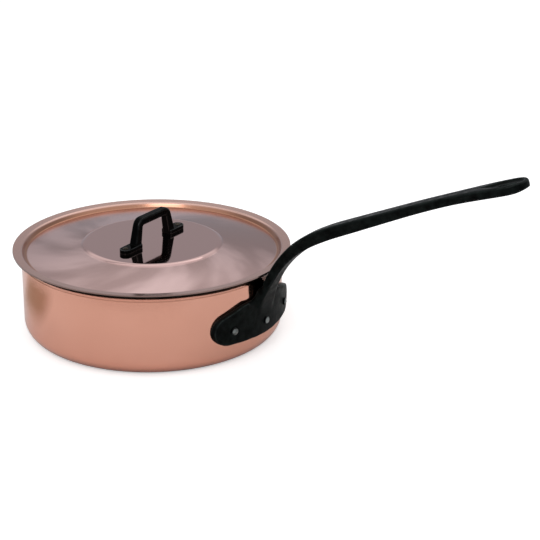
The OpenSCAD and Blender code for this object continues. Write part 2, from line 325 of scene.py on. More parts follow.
def oblong(across: float, up: float, bend: float) -> list[Corner]:
    """Returns a rounded oblong round the origin."""
    signs = ((-1, -1), (1, -1), (1, 1), (-1, 1))
    return [Corner(x * across / 2, y * up / 2, bend) for x, y in signs]


def swept(outline: Sequence[Corner], places: Sequence[Matrix]) -> BMesh:
    """Sweeps a filled outline through a row of places.

    Args:
        outline: The corners of the section, drawn in the XZ plane.
        places: Where the section is put, scaled and turned, one matrix for each ring.

    Returns:
        The closed solid.
    """
    bm, face = filled(outline)
    bmesh.ops.transform(bm, matrix=places[0], verts=bm.verts[:])
    for i, (last, place) in enumerate(zip(places, places[1:])):
        inner = face
        face, verts = extrude(bm, face)
        bmesh.ops.transform(bm, matrix=place @ last.inverted(), verts=verts)
        if i:
            bmesh.ops.delete(bm, geom=[inner], context="FACES_ONLY")
    return bm


def section_place(point: Vector, heading: float, wide: float, thick: float) -> Matrix:
    """Places a section across a line that runs in the XZ plane.

    Args:
        point: The flat point of the line.
        heading: The line's heading there, in degrees.
        wide: Scale of the section across the line, along Y.
        thick: Scale of the section up from the line.

    Returns:
        The matrix of the section's place.
    """
    run, up = ahead(heading), leftward(heading)
    columns = (
        (0, wide, 0, 0),
        (run.x, 0, run.y, 0),
        (up.x * thick, 0, up.y * thick, 0),
        (point.x, 0, point.y, 1),
    )
    return Matrix(columns).transposed()


def as_object(name: str, bm: BMesh) -> bpy.types.Object:
    """Turns a mesh into an object, with its normals outwards, and frees the mesh."""
    bmesh.ops.recalc_face_normals(bm, faces=bm.faces[:])
    mesh = bpy.data.meshes.new(name)
    bm.to_mesh(mesh)
    bm.free()
    made = bpy.data.objects.new(name, mesh)
    bpy.context.scene.collection.objects.link(made)
    return made


def settled(thing: bpy.types.Object) -> BMesh:
    """Applies an object's modifiers, removes the object and returns its shape."""
    bpy.context.view_layer.update()
    graph = bpy.context.evaluated_depsgraph_get()
    mesh = bpy.data.meshes.new_from_object(thing.evaluated_get(graph))
    bm = bmesh.new()
    bm.from_mesh(mesh)
    old = thing.data
    bpy.data.objects.remove(thing)
    bpy.data.meshes.remove(old)
    bpy.data.meshes.remove(mesh)
    return bm


def combined(kind: str, first: BMesh, second: BMesh) -> BMesh:
    """Joins, cuts or intersects two solids.

    Args:
        kind: UNION, DIFFERENCE or INTERSECT.
        first: The solid that is changed.
        second: The other solid, which is used up.

    Returns:
        The result.
    """
    target, tool = as_object("work", first), as_object("tool", second)
    step = target.modifiers.new("combine", "BOOLEAN")
    step.operation, step.solver, step.object = kind, "EXACT", tool
    result = settled(target)
    bpy.data.objects.remove(tool)
    return result


def recast(bm: BMesh, voxel: float, passes: int) -> BMesh:
    """Remakes a solid with even faces and softened edges, as a casting has.

    Args:
        bm: The solid.
        voxel: Size of the new faces.
        passes: How many times the surface is smoothed.

    Returns:
        The cast shape.
    """
    rough = as_object("casting", bm)
    step = rough.modifiers.new("recast", "REMESH")
    step.mode, step.voxel_size, step.adaptivity = "VOXEL", voxel, 0.0
    cast = settled(rough)
    soften(cast, cast.verts[:], passes)
    return cast


def soften(bm: BMesh, verts: Sequence[BMVert], passes: int) -> None:
    """Smooths some of a mesh's points, a number of times over."""
    for _ in range(passes):
        bmesh.ops.smooth_vert(
            bm, verts=verts, factor=SMOOTHING, use_axis_x=True, use_axis_y=True, use_axis_z=True
        )


def finished(name: str, bm: BMesh, turned: bool) -> bpy.types.Object:
    """Finishes a piece: in metres, shaded smooth, with its hard edges marked.

    Args:
        name: The piece's name.
        bm: Its shape in millimetres.
        turned: Whether it is a turned shape, whose flats keep flat shading beside bends.

    Returns:
        The piece, with its place in its mesh.
    """
    bmesh.ops.recalc_face_normals(bm, faces=bm.faces[:])
    bmesh.ops.scale(bm, vec=(MM, MM, MM), verts=bm.verts[:])
    for face in bm.faces:
        face.smooth = True
    for edge in bm.edges:
        if edge.is_manifold:
            edge.smooth = edge.calc_face_angle() < math.radians(SHARP_ANGLE)
    piece = as_object(name, bm)
    if turned:
        even = piece.modifiers.new("even_shading", "WEIGHTED_NORMAL")
        even.mode, even.keep_sharp, even.weight = "FACE_AREA", True, NORMAL_WEIGHT
    return piece


def fit_out(
    piece: bpy.types.Object, node: str, body: Body, finish: bpy.types.Material
) -> None:
    """Gives a piece its body and its finish, hides the CAD node that it stands for, and reports
    it.

    Args:
        piece: The finished piece.
        node: The CAD node that it stands for.
        body: The body that carries it.
        finish: Its material.
    """
    piece.data.materials.clear()
    piece.data.materials.append(finish)
    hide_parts(node)
    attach(piece, body.value)
    triangles = sum(len(p.vertices) - 2 for p in piece.data.polygons)
    log.info("%s: %d triangles on %s", piece.name, triangles, body.value)


# Node trees


class Graph:
    """Adds nodes to a node tree and joins them."""

    def __init__(self, tree: bpy.types.NodeTree) -> None:
        """Starts on a tree, which may already have nodes."""
        self.tree = tree

    def add(
        self, kind: str, inputs: dict[str | int, object] | None = None, **settings: object
    ) -> bpy.types.Node:
        """Adds a node.

        Args:
            kind: The node's Blender type.
            inputs: What each input is: a constant, or the output that feeds it.
            settings: The node's own properties.

        Returns:
            The node.
        """
        node = self.tree.nodes.new(kind)
        for name, value in settings.items():
            setattr(node, name, value)
        for key, value in (inputs or {}).items():
            self.feed(node, key, value)
        return node

    def feed(self, node: bpy.types.Node, key: str | int, value: object) -> None:
        """Sets an input to a constant, or links an output to it."""
        if isinstance(value, bpy.types.NodeSocket):
            self.tree.links.new(value, node.inputs[key])
        else:
            node.inputs[key].default_value = value

    def calc(self, operation: str, *values: object) -> bpy.types.NodeSocket:
        """Adds a Math node and returns its output."""
        return self.add(
            "ShaderNodeMath", dict(enumerate(values)), operation=operation
        ).outputs[0]

    def vector(
        self, operation: str, *values: object, scale: object | None = None
    ) -> bpy.types.Node:
        """Adds a Vector Math node."""
        inputs: dict[str | int, object] = dict(enumerate(values))
        if scale is not None:
            inputs["Scale"] = scale
        return self.add("ShaderNodeVectorMath", inputs, operation=operation)

    def flat(self, vector: object) -> bpy.types.NodeSocket:
        """Takes the height out of a vector and returns the output."""
        return self.vector("MULTIPLY", vector, (1.0, 1.0, 0.0)).outputs[0]

    def split(self, vector: object) -> bpy.types.NodeOutputs:
        """Splits a vector and returns its three outputs."""
        return self.add("ShaderNodeSeparateXYZ", {0: vector}).outputs

    def joined(self, *values: object) -> bpy.types.NodeSocket:
        """Makes a vector of three values and returns the output."""
        return self.add("ShaderNodeCombineXYZ", dict(enumerate(values))).outputs[0]

    def spread(
        self, value: object, low: object, high: object, to_low: float, to_high: float
    ) -> bpy.types.NodeSocket:
        """Maps a value from one range to another, clamped and eased, and returns the output."""
        inputs = {0: value, 1: low, 2: high, 3: to_low, 4: to_high}
        return self.add(
            "ShaderNodeMapRange", inputs, interpolation_type="SMOOTHSTEP", clamp=True
        ).outputs[0]

    def blend(self, share: object, first: object, second: object) -> bpy.types.NodeSocket:
        """Mixes two colours and returns the output."""
        inputs = {0: share, 6: first, 7: second}
        return self.add("ShaderNodeMix", inputs, data_type="RGBA").outputs[2]

    def noise(
        self, vector: object, scale: object, detail: float = 2.0, roughness: float = 0.5
    ) -> bpy.types.NodeSocket:
        """Adds a noise texture and returns its value."""
        inputs = {"Vector": vector, "Scale": scale, "Detail": detail, "Roughness": roughness}
        return self.add("ShaderNodeTexNoise", inputs).outputs[0]

    def bump(self, strength: float, distance: float, height: object) -> bpy.types.NodeSocket:
        """Adds a Bump node, with its distance in metres, and returns the normal."""
        inputs = {"Strength": strength, "Distance": distance, "Height": height}
        return self.add("ShaderNodeBump", inputs).outputs[0]


class GroupKind(Enum):
    """The shared effects, by the names of their node groups."""

    SPUN_MARKS = "spun_marks"
    CLOUDING = "clouding"
    CASTING_GRAIN = "casting_grain"
    WORN_AND_LIT_EDGES = "worn_edges"
    RING_BAND = "ring_band"
    SWEPT_STREAKS = "swept_streaks"


class Effects:
    """Builds each shared effect once, as a node group with named sockets."""

    SLOW_RINGS = 0.12
    CLOUD_REACH = 0.25
    LUMP_SCALE, PIT_SCALE = 0.16, 0.45
    FINE_SHARE, PIT_SHARE = 0.35, 0.25
    PIT_RANGE = (0.05, 0.3)
    BREAK_SCALE, BREAK_LEAST = 160.0, 0.35
    BREAK_RANGE = (0.3, 0.6)
    UPPER_RANGE = (-0.55, 0.05)
    STREAK_START, STREAK_DRIFT = 4.7, 9.0
    STREAK_RANGE = (0.36, 0.66)

    def __init__(self) -> None:
        """Starts with no group built."""
        self.built: dict[GroupKind, bpy.types.NodeTree] = {}

    def place(
        self, graph: Graph, kind: GroupKind, inputs: dict[str | int, object]
    ) -> bpy.types.Node:
        """Places an effect in a material.

        Args:
            graph: The material's graph.
            kind: Which effect.
            inputs: Its values in this material.

        Returns:
            The group node, with its named outputs.
        """
        makers: dict[GroupKind, Callable[[], bpy.types.NodeTree]] = {
            GroupKind.SPUN_MARKS: self.spun_marks,
            GroupKind.CLOUDING: self.clouding,
            GroupKind.CASTING_GRAIN: self.casting_grain,
            GroupKind.WORN_AND_LIT_EDGES: self.worn_edges,
            GroupKind.RING_BAND: self.ring_band,
            GroupKind.SWEPT_STREAKS: self.swept_streaks,
        }
        if kind not in self.built:
            self.built[kind] = makers[kind]()
        return graph.add("ShaderNodeGroup", inputs, node_tree=self.built[kind])

    @staticmethod
    def start(
        kind: GroupKind, inputs: dict[str, float | None], outputs: Sequence[str]
    ) -> tuple[Graph, bpy.types.Node, bpy.types.Node]:
        """Starts a group with its sockets.

        Args:
            kind: The effect.
            inputs: Each input's usual value, or None for a vector.
            outputs: The names of its outputs, which are all values.

        Returns:
            The group's graph, its input node and its output node.
        """
        tree = bpy.data.node_groups.new(kind.value, "ShaderNodeTree")
        for name, value in inputs.items():
            sort = "NodeSocketVector" if value is None else "NodeSocketFloat"
            socket = tree.interface.new_socket(name, in_out="INPUT", socket_type=sort)
            if value is not None:
                socket.default_value = value
        for name in outputs:
            tree.interface.new_socket(name, in_out="OUTPUT", socket_type="NodeSocketFloat")
        graph = Graph(tree)
        return graph, graph.add("NodeGroupInput"), graph.add("NodeGroupOutput")

    def spun_marks(self) -> bpy.types.NodeTree:
        """Marks that run round the pan's axis, as turning and brushing leave them.

        Returns:
            A group with the height of the marks and a slower variation from ring to ring.
        """
        g, given, gives = self.start(
            GroupKind.SPUN_MARKS,
            {"Vector": None, "Rings": 900.0, "Wander": 1.2},
            ("Height", "Bands"),
        )
        flat = g.flat(given.outputs["Vector"])
        out = g.vector("LENGTH", flat).outputs["Value"]
        away = g.vector("NORMALIZE", flat).outputs[0]
        round_it = g.split(g.vector("SCALE", away, scale=given.outputs["Wander"]).outputs[0])
        along = g.calc("ADD", out, g.split(given.outputs["Vector"])[2])
        ring = g.calc("MULTIPLY", along, given.outputs["Rings"])
        where = g.joined(round_it[0], round_it[1], ring)
        g.feed(gives, "Height", g.noise(where, 1.0, detail=3.0, roughness=0.7))
        g.feed(gives, "Bands", g.noise(where, self.SLOW_RINGS, detail=2.0))
        return g.tree

    def clouding(self) -> bpy.types.NodeTree:
        """Soft uneven patches, as handled or slightly tarnished metal has.

        Returns:
            A group with a mask from 0 to 1.
        """
        g, given, gives = self.start(
            GroupKind.CLOUDING, {"Vector": None, "Scale": 14.0, "Contrast": 0.5}, ("Mask",)
        )
        wide = g.noise(given.outputs["Vector"], given.outputs["Scale"], detail=4.0)
        half = g.calc("MULTIPLY", given.outputs["Contrast"], self.CLOUD_REACH)
        low, high = g.calc("SUBTRACT", 0.5, half), g.calc("ADD", 0.5, half)
        g.feed(gives, "Mask", g.spread(wide, low, high, 0.0, 1.0))
        return g.tree

    def casting_grain(self) -> bpy.types.NodeTree:
        """The skin that a sand mould leaves: a fine grain, low lumps and small pits.

        Returns:
            A group with the surface's height, and a mask that is high in pits.
        """
        g, given, gives = self.start(
            GroupKind.CASTING_GRAIN, {"Vector": None, "Grain": 1400.0}, ("Height", "Pits")
        )
        vector, grain = given.outputs["Vector"], given.outputs["Grain"]
        fine = g.noise(vector, grain, detail=2.0, roughness=0.6)
        lumps = g.noise(vector, g.calc("MULTIPLY", grain, self.LUMP_SCALE), detail=3.0)
        size = g.calc("MULTIPLY", grain, self.PIT_SCALE)
        cells = g.add("ShaderNodeTexVoronoi", {"Vector": vector, "Scale": size})
        pits = g.spread(cells.outputs["Distance"], *self.PIT_RANGE, 1.0, 0.0)
        height = g.calc("ADD", g.calc("MULTIPLY", fine, self.FINE_SHARE), lumps)
        sunk_pits = g.calc("MULTIPLY", pits, self.PIT_SHARE)
        g.feed(gives, "Height", g.calc("SUBTRACT", height, sunk_pits))
        g.feed(gives, "Pits", pits)
        return g.tree

    def worn_edges(self) -> bpy.types.NodeTree:
        """Edges worn by use and painted lighter as highlights, broken up by noise.

        Returns:
            A group with a mask that is high along outer edges, but not underneath.
        """
        g, given, gives = self.start(
            GroupKind.WORN_AND_LIT_EDGES, {"Vector": None, "Start": 0.507, "Full": 0.56}, ("Mask",)
        )
        shape = g.add("ShaderNodeNewGeometry").outputs
        edge = g.spread(
            shape["Pointiness"], given.outputs["Start"], given.outputs["Full"], 0.0, 1.0
        )
        breaks = g.noise(given.outputs["Vector"], self.BREAK_SCALE, detail=4.0)
        broken = g.spread(breaks, *self.BREAK_RANGE, self.BREAK_LEAST, 1.0)
        # Kept to edges that face up, where the painted highlight falls.
        upper = g.spread(g.split(shape["Normal"])[2], *self.UPPER_RANGE, 0.0, 1.0)
        worn = g.calc("MULTIPLY", edge, broken)
        g.feed(gives, "Mask", g.calc("MULTIPLY", worn, upper))
        return g.tree

    def ring_band(self) -> bpy.types.NodeTree:
        """A band round the pan's axis, between two radii in metres, with soft edges.

        Returns:
            A group with a mask that is 1 inside the band.
        """
        g, given, gives = self.start(
            GroupKind.RING_BAND,
            {"Vector": None, "Inner": 0.0, "Outer": 0.1, "Softness": 0.002},
            ("Mask",),
        )
        out = g.vector("LENGTH", g.flat(given.outputs["Vector"])).outputs["Value"]
        soft = given.outputs["Softness"]
        sides = []
        for edge, ends in (("Inner", (0.0, 1.0)), ("Outer", (1.0, 0.0))):
            low = g.calc("SUBTRACT", given.outputs[edge], soft)
            high = g.calc("ADD", given.outputs[edge], soft)
            sides.append(g.spread(out, low, high, *ends))
        g.feed(gives, "Mask", g.calc("MULTIPLY", *sides))
        return g.tree

    def swept_streaks(self) -> bpy.types.NodeTree:
        """Broad soft streaks that sweep out from the middle, which the lid uses as painted sheen
        and for its roughness.

        Returns:
            A group with a mask from 0 to 1.
        """
        g, given, gives = self.start(
            GroupKind.SWEPT_STREAKS, {"Vector": None, "Count": 1.5, "Sweep": 7.0}, ("Mask",)
        )
        flat = g.flat(given.outputs["Vector"])
        out = g.vector("LENGTH", flat).outputs["Value"]
        away = g.vector("NORMALIZE", flat).outputs[0]
        angle = g.calc("MULTIPLY", out, given.outputs["Sweep"])
        turned = g.add(
            "ShaderNodeVectorRotate", {"Vector": away, "Angle": angle}, rotation_type="Z_AXIS"
        )
        wide = g.vector("SCALE", turned.outputs[0], scale=given.outputs["Count"])
        parts = g.split(wide.outputs[0])
        across = g.calc("ADD", parts[0], self.STREAK_START)
        where = g.joined(across, parts[1], g.calc("MULTIPLY", out, self.STREAK_DRIFT))
        g.feed(gives, "Mask", g.spread(g.noise(where, 1.0, 3.0), *self.STREAK_RANGE, 0.0, 1.0))
        return g.tree


# Finishes


class Paint(Graph):
    """A material in the making: its nodes, its shader and the effects placed in it."""

    def __init__(self, name: str, effects: Effects) -> None:
        """Starts a material on the shared effects."""
        self.material = bpy.data.materials.new(name)
        self.material.use_nodes = True
        super().__init__(self.material.node_tree)
        self.shader = self.tree.nodes["Principled BSDF"]
        self.effects = effects

    @cached_property
    def at(self) -> bpy.types.NodeSocket:
        """The Object coordinates, added when they are first read."""
        return self.add("ShaderNodeTexCoord").outputs["Object"]

    def effect(self, kind: GroupKind, **values: float) -> bpy.types.NodeOutputs:
        """Places a shared effect with its values and returns its outputs."""
        return self.effects.place(self, kind, {"Vector": self.at, **values}).outputs

    def clouds(self, scale: float) -> bpy.types.NodeSocket:
        """Returns the mask of full clouding at a scale."""
        return self.effect(GroupKind.CLOUDING, Scale=scale, Contrast=1.0)["Mask"]

    def band(self, inner: float, outer: float, soft: float) -> bpy.types.NodeSocket:
        """Returns the mask of a band round the axis, with its radii in metres."""
        return self.effect(GroupKind.RING_BAND, Inner=inner, Outer=outer, Softness=soft)["Mask"]

    def stretch_round(self, stretch: float) -> None:
        """Draws the highlights out round the axis, as brushing does."""
        self.feed(self.shader, "Anisotropic", stretch)
        ring = self.add("ShaderNodeTangent", direction_type="RADIAL", axis="Z")
        self.feed(self.shader, "Tangent", ring.outputs[0])

    def dressed(
        self, colour: object, rough: object, normal: object | None = None, metal: bool = True
    ) -> bpy.types.Material:
        """Feeds the shader's main inputs.

        Args:
            colour: The base colour.
            rough: The roughness.
            normal: The bumped normal, if there is one.
            metal: Whether the surface is bare metal.

        Returns:
            The material.
        """
        self.feed(self.shader, "Base Color", colour)
        self.feed(self.shader, "Roughness", rough)
        if metal:
            self.feed(self.shader, "Metallic", 1.0)
        if normal is not None:
            self.feed(self.shader, "Normal", normal)
        return self.material


@dataclass(frozen=True)
class PolishedCopper:
    """Mirror-polished copper, clouded, with painted shade at its heel and crown, and painted dark
    reflections under its lip and behind the neck.
    """

    colour: Colour = (0.82, 0.42, 0.315, 1)
    clouded: Colour = (0.76, 0.375, 0.275, 1)
    # painted shade: on the rim's crown, and as the stem's dark reflection behind the neck
    shaded: Colour = (0.10, 0.045, 0.03, 1)
    # painted shade at the heel, where the wall reflects the floor's contact shadow
    heel_shade: Colour = (0.48, 0.21, 0.155, 1)
    # painted dark reflection in the fold under the lip
    under_lip_shade: Colour = (0.40, 0.17, 0.11, 1)
    cloud_scale: float = 11.0
    rings: float = 700.0
    wander: float = 0.8
    ring_range: tuple[float, float] = (0.35, 0.65)
    smooth: float = 0.07
    dull: float = 0.13
    mark_strength: float = 0.25
    mark_height: float = 0.000004
    heel: tuple[float, float] = (0.002, 0.011)
    heel_share: float = 0.9
    under_lip: tuple[float, float, float] = (0.0712, 0.0722, 0.0732)
    under_lip_shade_share: float = 0.75
    lip: tuple[float, float] = (0.0746, 0.0751)
    # where the painted dark reflection of the stem sits, and how far it reaches
    behind_neck: tuple[float, float, float] = (0.1235, 0.0, 0.0745)
    behind_reach: tuple[float, float] = (0.0105, 0.017)

    def material(self, effects: Effects) -> bpy.types.Material:
        """Returns the finish as a material."""
        g = Paint("polished_copper", effects)
        marks = g.effect(GroupKind.SPUN_MARKS, Rings=self.rings, Wander=self.wander)
        high = g.split(g.at)[2]
        face = g.blend(g.clouds(self.cloud_scale), self.colour, self.clouded)
        # Painted shade: darker towards the base, standing for the reflected contact shadow.
        face = g.blend(g.spread(high, *self.heel, self.heel_share, 0.0), face, self.heel_shade)
        # Painted dark reflection in the fold under the lip, between low and top.
        low, middle, top = self.under_lip
        below = g.spread(high, low, middle, 0.0, self.under_lip_shade_share)
        above = g.spread(high, middle, top, 1.0, 0.0)
        face = g.blend(g.calc("MULTIPLY", below, above), face, self.under_lip_shade)
        # Painted dark reflection of the stem, with shade, on the wall behind the neck.
        away = g.vector("DISTANCE", g.at, self.behind_neck).outputs["Value"]
        neck = g.spread(away, *self.behind_reach, 1.0, 0.0)
        # Painted shade on the rim's crown, under the lid's flange.
        dark = g.calc("MAXIMUM", g.spread(high, *self.lip, 0.0, 1.0), neck)
        return g.dressed(
            g.blend(dark, face, self.shaded),
            g.spread(marks["Bands"], *self.ring_range, self.smooth, self.dull),
            g.bump(self.mark_strength, self.mark_height, marks["Height"]),
        )


@dataclass(frozen=True)
class SatinCopper:
    """The lid's copper: polished in the middle, with painted streaks of sheen on the disc, satin
    on the flange, and painted shade at the step and on the flange's outer edge.
    """

    colour: Colour = (0.46, 0.305, 0.29, 1)
    # painted sheen along the swept streaks
    streak_sheen: Colour = (0.79, 0.56, 0.54, 1)
    mirror: Colour = (0.68, 0.46, 0.44, 1)
    rimmed: Colour = (0.72, 0.47, 0.41, 1)
    # painted shade on the step down from the flange
    crease_shade: Colour = (0.42, 0.19, 0.11, 1)
    # painted shade on the flange's outer edge
    cut: Colour = (0.30, 0.2, 0.18, 1)
    polished: float = 0.06
    brushed: float = 0.2
    uneven: float = 0.04
    flange: float = 0.13
    stretch: float = 0.35
    rings: float = 1300.0
    wander: float = 1.6
    mark_strength: float = 0.25
    mark_height: float = 0.000005
    middle: float = 0.0655
    middle_soft: float = 0.0012
    crease_band: tuple[float, float] = (0.1172, 0.1212)
    crease_soft: float = 0.0006
    crease_share: float = 0.85
    flange_soft: float = 0.001
    edge_from: float = 0.12982
    edge_soft: float = 0.0001

    def material(self, effects: Effects) -> bpy.types.Material:
        """Returns the finish as a material."""
        g = Paint("satin_copper", effects)
        marks = g.effect(GroupKind.SPUN_MARKS, Rings=self.rings, Wander=self.wander)
        disc = g.band(self.middle, self.crease_band[0], self.middle_soft)
        crease_shade = g.band(*self.crease_band, self.crease_soft)
        flange = g.band(self.crease_band[0], BEYOND, self.flange_soft)
        # Painted shade on the flange's outer edge, out from edge_from.
        edge = g.band(self.edge_from, BEYOND, self.edge_soft)
        # Painted streaks of sheen on the disc; the same streaks vary its roughness.
        tone = g.calc("MULTIPLY", g.effect(GroupKind.SWEPT_STREAKS)["Mask"], disc)
        face = g.blend(disc, self.mirror, g.blend(tone, self.colour, self.streak_sheen))
        face = g.blend(flange, face, self.rimmed)
        # Painted shade on the step between the flange and the disc.
        face = g.blend(g.calc("MULTIPLY", crease_shade, self.crease_share), face, self.crease_shade)
        rough = g.spread(disc, 0.0, 1.0, self.polished, self.brushed)
        worn = g.calc("MULTIPLY", tone, self.uneven)
        worn = g.calc("ADD", worn, g.calc("MULTIPLY", flange, self.flange))
        g.stretch_round(self.stretch)
        return g.dressed(
            g.blend(edge, face, self.cut),
            g.calc("ADD", rough, worn),
            g.bump(self.mark_strength, self.mark_height, marks["Height"]),
        )


@dataclass(frozen=True)
class LiningSteel:
    """Stainless steel brushed round the pan, with very dark painted shade under the lid's flange.
    """

    colour: Colour = (0.55, 0.545, 0.53, 1)
    darker: Colour = (0.42, 0.415, 0.40, 1)
    # painted shade under the lid's flange
    flange_shade: Colour = (0.03, 0.028, 0.027, 1)
    flange_shade_from: float = 0.1222
    flange_shade_soft: float = 0.0006
    cloud_scale: float = 16.0
    rings: float = 1100.0
    wander: float = 2.0
    ring_range: tuple[float, float] = (0.3, 0.7)
    smooth: float = 0.22
    dull: float = 0.36
    stretch: float = 0.55
    mark_strength: float = 0.4
    mark_height: float = 0.00002

    def material(self, effects: Effects) -> bpy.types.Material:
        """Returns the finish as a material."""
        g = Paint("lining_steel", effects)
        marks = g.effect(GroupKind.SPUN_MARKS, Rings=self.rings, Wander=self.wander)["Height"]
        tone = g.calc("MULTIPLY", g.clouds(self.cloud_scale), marks)
        face = g.blend(tone, self.colour, self.darker)
        # Painted shade on the underside of the lid's flange.
        overhang = g.band(self.flange_shade_from, BEYOND, self.flange_shade_soft)
        g.stretch_round(self.stretch)
        return g.dressed(
            g.blend(overhang, face, self.flange_shade),
            g.spread(marks, *self.ring_range, self.smooth, self.dull),
            g.bump(self.mark_strength, self.mark_height, marks),
        )


@dataclass(frozen=True)
class CastIron:
    """Blackened cast iron with a grained skin, lighter along its upper edges: partly wear, partly
    painted highlight.
    """

    name: str = "cast_iron"
    colour: Colour = (0.0005, 0.0008, 0.0007, 1)
    pitted: Colour = (0.0062, 0.0085, 0.0078, 1)
    # edge colour: partly wear, partly painted highlight
    worn_edge_sheen: Colour = (0.03, 0.042, 0.040, 1)
    cloud_scale: float = 150.0
    smooth: float = 0.3
    dull: float = 0.48
    shine: float = 0.035
    edge_gloss: float = 0.4
    edge_smoothing: float = 0.08
    edge_range: tuple[float, float] = (0.507, 0.56)
    grain: float = 1100.0
    grain_range: tuple[float, float] = (0.3, 0.7)
    grain_share: float = 0.2
    grain_strength: float = 0.5
    grain_height: float = 0.00035

    def material(self, effects: Effects) -> bpy.types.Material:
        """Returns the finish as a material."""
        g = Paint(self.name, effects)
        grain = g.effect(GroupKind.CASTING_GRAIN, Grain=self.grain)["Height"]
        start, full = self.edge_range
        # Upper edges: worn, and painted lighter as highlights.
        edges = g.effect(GroupKind.WORN_AND_LIT_EDGES, Start=start, Full=full)["Mask"]
        clouds = g.clouds(self.cloud_scale)
        rises = g.spread(grain, *self.grain_range, self.grain_share, 1.0)
        skin = g.blend(g.calc("MULTIPLY", clouds, rises), self.colour, self.pitted)
        rough = g.spread(clouds, 0.0, 1.0, self.smooth, self.dull)
        worn_edge_sheen = g.calc("MULTIPLY", edges, self.edge_smoothing)
        g.feed(g.shader, "Specular IOR Level", self.shine)
        g.feed(g.shader, "Coat Weight", g.calc("MULTIPLY", edges, self.edge_gloss))
        g.feed(g.shader, "Coat Roughness", self.smooth)
        return g.dressed(
            g.blend(edges, skin, self.worn_edge_sheen),
            g.calc("SUBTRACT", rough, worn_edge_sheen),
            g.bump(self.grain_strength, self.grain_height, grain),
            metal=False,
        )


@dataclass(frozen=True)
class RivetSteel:
    """Dull rivet heads, dressed with a hammer, with painted shade on their sides, so only their
    crowns look lit.
    """

    name: str = "rivet_steel"
    colour: Colour = (0.30, 0.32, 0.31, 1)
    dark: Colour = (0.09, 0.095, 0.09, 1)
    # painted shade on the heads' sides
    side_shade: Colour = (0.008, 0.009, 0.009, 1)
    side: tuple[float, float] = (0.1215, 0.1291)
    side_soft: float = 0.0003
    cloud_scale: float = 240.0
    smooth: float = 0.3
    dull: float = 0.5
    grain: float = 900.0
    mark_strength: float = 0.4
    mark_height: float = 0.0004

    def material(self, effects: Effects) -> bpy.types.Material:
        """Returns the finish as a material."""
        g = Paint(self.name, effects)
        grain = g.effect(GroupKind.CASTING_GRAIN, Grain=self.grain)["Height"]
        clouds = g.clouds(self.cloud_scale)
        face = g.blend(clouds, self.colour, self.dark)
        # Painted shade on the heads' sides, up to just short of the crown.
        return g.dressed(
            g.blend(g.band(*self.side, self.side_soft), face, self.side_shade),
            g.spread(clouds, 0.0, 1.0, self.smooth, self.dull),
            g.bump(self.mark_strength, self.mark_height, grain),
        )


@dataclass(frozen=True)
class Finishes:
    """Every finish of the object, as built materials."""

    polished_copper: bpy.types.Material
    satin_copper: bpy.types.Material
    lining_steel: bpy.types.Material
    cast_iron: bpy.types.Material
    fine_iron: bpy.types.Material
    rivet_steel: bpy.types.Material
    browned_steel: bpy.types.Material

    @classmethod
    def built(cls, effects: Effects) -> Finishes:
        """Builds every finish on one set of shared effects."""
        return cls(
            polished_copper=PolishedCopper().material(effects),
            satin_copper=SatinCopper().material(effects),
            lining_steel=LiningSteel().material(effects),
            cast_iron=CastIron().material(effects),
            fine_iron=CastIron(
                name="fine_cast_iron",
                colour=(0.0003, 0.00035, 0.00035, 1),
                pitted=(0.001, 0.0011, 0.0011, 1),
                worn_edge_sheen=(0.007, 0.0085, 0.008, 1),
                edge_range=(0.503, 0.535),
                smooth=0.12,
                dull=0.24,
                shine=0.03,
                edge_gloss=1.0,
                grain=1500.0,
                grain_height=0.00008,
            ).material(effects),
            rivet_steel=RivetSteel().material(effects),
            browned_steel=RivetSteel(
                name="browned_rivet_steel",
                colour=(0.10, 0.085, 0.07, 1),
                dark=(0.03, 0.025, 0.02, 1),
            ).material(effects),
        )


# Pieces


@dataclass(frozen=True)
class Wall:
    """One surface of the cup: its radius and floor, and the bends at its foot and its curl."""

    radius: float
    floor: float
    foot_bend: float
    curl: float
    curl_bend: float

    def corners(self) -> list[Corner]:
        """Returns the surface's line, from the axis up to its curl."""
        return [
            Corner(0, self.floor),
            Corner(self.radius, self.floor, self.foot_bend),
            Corner(self.radius, self.curl, self.curl_bend),
        ]


@dataclass
class PanBody:
    """The copper cup and the thin steel lining bonded inside it."""

    outside: Wall = Wall(122.5, 0.0, 14.0, 73.61, 5.0)
    bond: Wall = Wall(120.4, 2.1, 11.9, 74.13, 7.1)
    inside: Wall = Wall(120.0, 2.5, 11.5, 73.48, 7.5)
    rim_outside: tuple[Corner, ...] = (Corner(123.66, 75.0, 0.25), Corner(123.1, 76.0, 0.6))
    rim_bond: Corner = Corner(121.78, 76.0)
    rim_inside: tuple[Corner, ...] = (Corner(121.25, 76.0, 0.5), Corner(120.72, 75.0, 0.3))

    def cup_profile(self) -> list[Corner]:
        """Returns the copper's section: up its outside, over the rim and back down the bond."""
        over = [*self.rim_outside, self.rim_bond]
        return self.outside.corners() + over + self.bond.corners()[::-1]

    def lining_profile(self) -> list[Corner]:
        """Returns the lining's section: up the bond, over the rim and down its inside."""
        over = [self.rim_bond, *self.rim_inside]
        return self.bond.corners() + over + self.inside.corners()[::-1]

    def build(self, finishes: Finishes) -> None:
        """Builds both layers and fits them out."""
        layers = (
            ("copper_cup", "pan_shell", self.cup_profile(), Slot.POLISHED_COPPER),
            ("cup_lining", "pan_lining", self.lining_profile(), Slot.LINING_STEEL),
        )
        for name, node, profile, slot in layers:
            piece = finished(name, spun(profile), turned=True)
            fit_out(piece, node, Body.PAN, getattr(finishes, slot.value))


